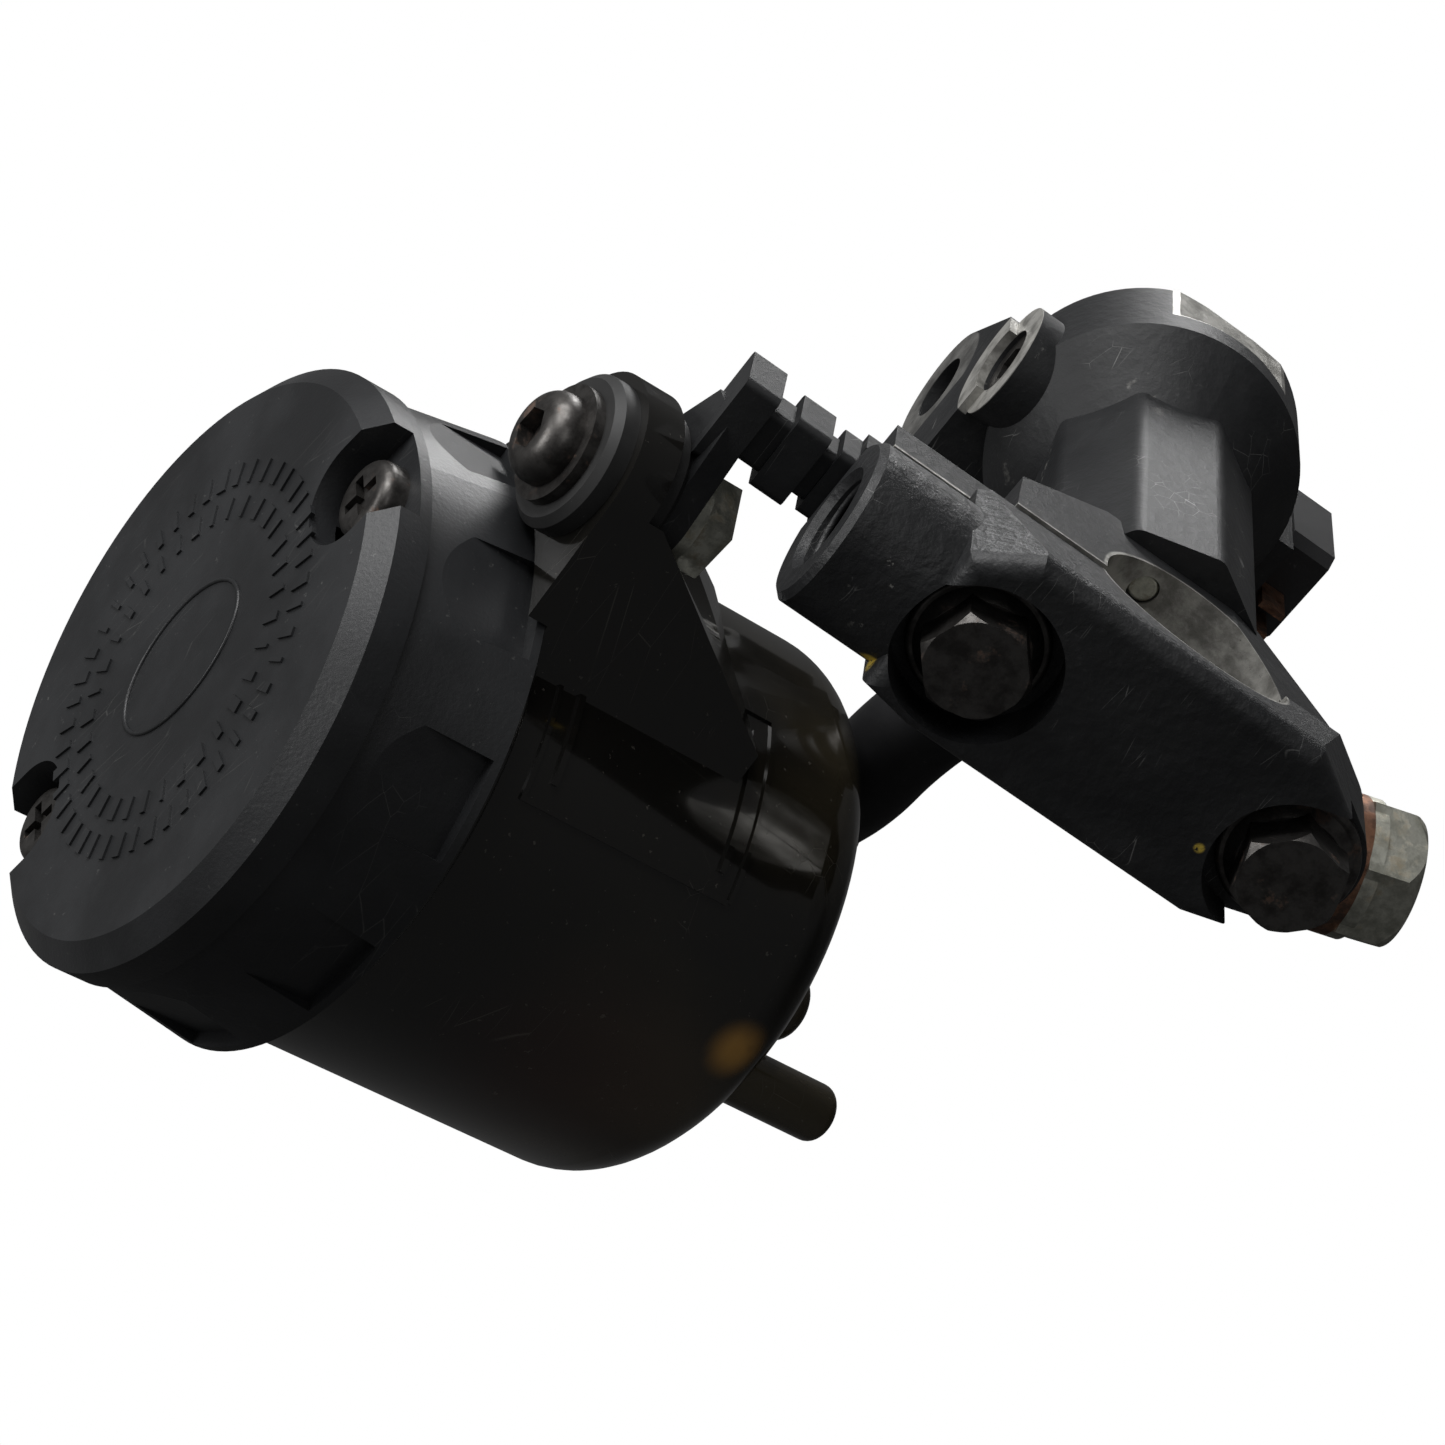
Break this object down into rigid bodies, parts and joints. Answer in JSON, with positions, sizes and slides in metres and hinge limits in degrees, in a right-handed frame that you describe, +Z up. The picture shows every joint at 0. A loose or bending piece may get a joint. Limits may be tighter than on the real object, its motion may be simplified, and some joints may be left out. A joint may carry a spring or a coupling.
{
  "type": "brake master cylinder",
  "caption": "Front brake master cylinder with a split handlebar clamp, a remote fluid reservoir with a screwed cap, a sprung piston and a brake light switch.",
  "frame": {"origin": "centre of the handlebar bore, on the plane where the clamp cap meets the body", "axes": "+X along the handlebar axis toward its outer end, +Y forward along the piston bore, away from the rider, +Z up toward the mirror thread"},
  "size_m": [0.1088, 0.1123, 0.129],
  "materials": {
    "cast_black": "sand-textured black powder coat with worn bare edges",
    "body_black": "satin black coat over a cast aluminium body, machined faces bare",
    "bolt_steel": "dark phosphated steel, slightly worn",
    "zinc_steel": "dull zinc plating",
    "spring_steel": "bright spring wire",
    "copper": "aged copper",
    "alloy": "machined bare",
    "anodised": "hard anodised grey",
    "seal_rubber": "smooth black rubber",
    "hose_rubber": "matt black rubber",
    "cap_plastic": "matt moulded black",
    "smoked_cup": "dark smoked translucent, glossy",
    "switch_plastic": "black moulding"
  },
  "bodies": {
    "cylinder": {"cylinder_body": "body_black", "clamp_cap": "cast_black", "clamp_bolts": "bolt_steel", "locating_pin": "zinc_steel", "crush_washers": "copper", "banjo_bolt": "zinc_steel", "port_plug": "bolt_steel", "return_spring": "spring_steel", "stop_washer": "zinc_steel", "circlip": "spring_steel", "dust_boot": "seal_rubber", "inlet_nipple": "cap_plastic", "inlet_oring": "seal_rubber", "inlet_screw": "bolt_steel", "supply_hose": "hose_rubber", "hose_clips": "bolt_steel", "reservoir_cup": "smoked_cup", "ear_grommet": "seal_rubber", "ear_sleeve": "zinc_steel", "ear_washer": "bolt_steel", "ear_bolt": "bolt_steel", "ear_nut": "zinc_steel", "reservoir_stay": "cast_black", "stay_screw": "bolt_steel", "switch_body": "switch_plastic", "switch_screw": "zinc_steel", "switch_terminals": "copper"},
    "piston": {"piston": "anodised", "primary_seal": "seal_rubber", "secondary_seal": "seal_rubber", "spring_seat": "switch_plastic", "push_rod": "zinc_steel"},
    "reservoir_lid": {"reservoir_cap": "cap_plastic", "cap_screws": "bolt_steel", "cap_diaphragm": "seal_rubber", "diaphragm_plate": "switch_plastic"},
    "switch_button": {"switch_plunger": "switch_plastic"}
  },
  "joints": [
    {"name": "piston_travel", "type": "slide", "parent": "cylinder", "child": "piston", "axis": [0, -1, 0], "range_m": [0, 0.011], "stiffness_N_per_m": 1500, "springref_m": -0.006, "deforming": ["return_spring"]},
    {"name": "switch_travel", "type": "slide", "parent": "cylinder", "child": "switch_button", "axis": [0, -1, 0], "range_m": [0, 0.002], "stiffness_N_per_m": 400, "springref_m": -0.002},
    {"name": "lid_lift", "type": "slide", "parent": "cylinder", "child": "reservoir_lid", "axis": [0.079, -0.3362, 0.9385], "range_m": [0, 0.03]}
  ]
}
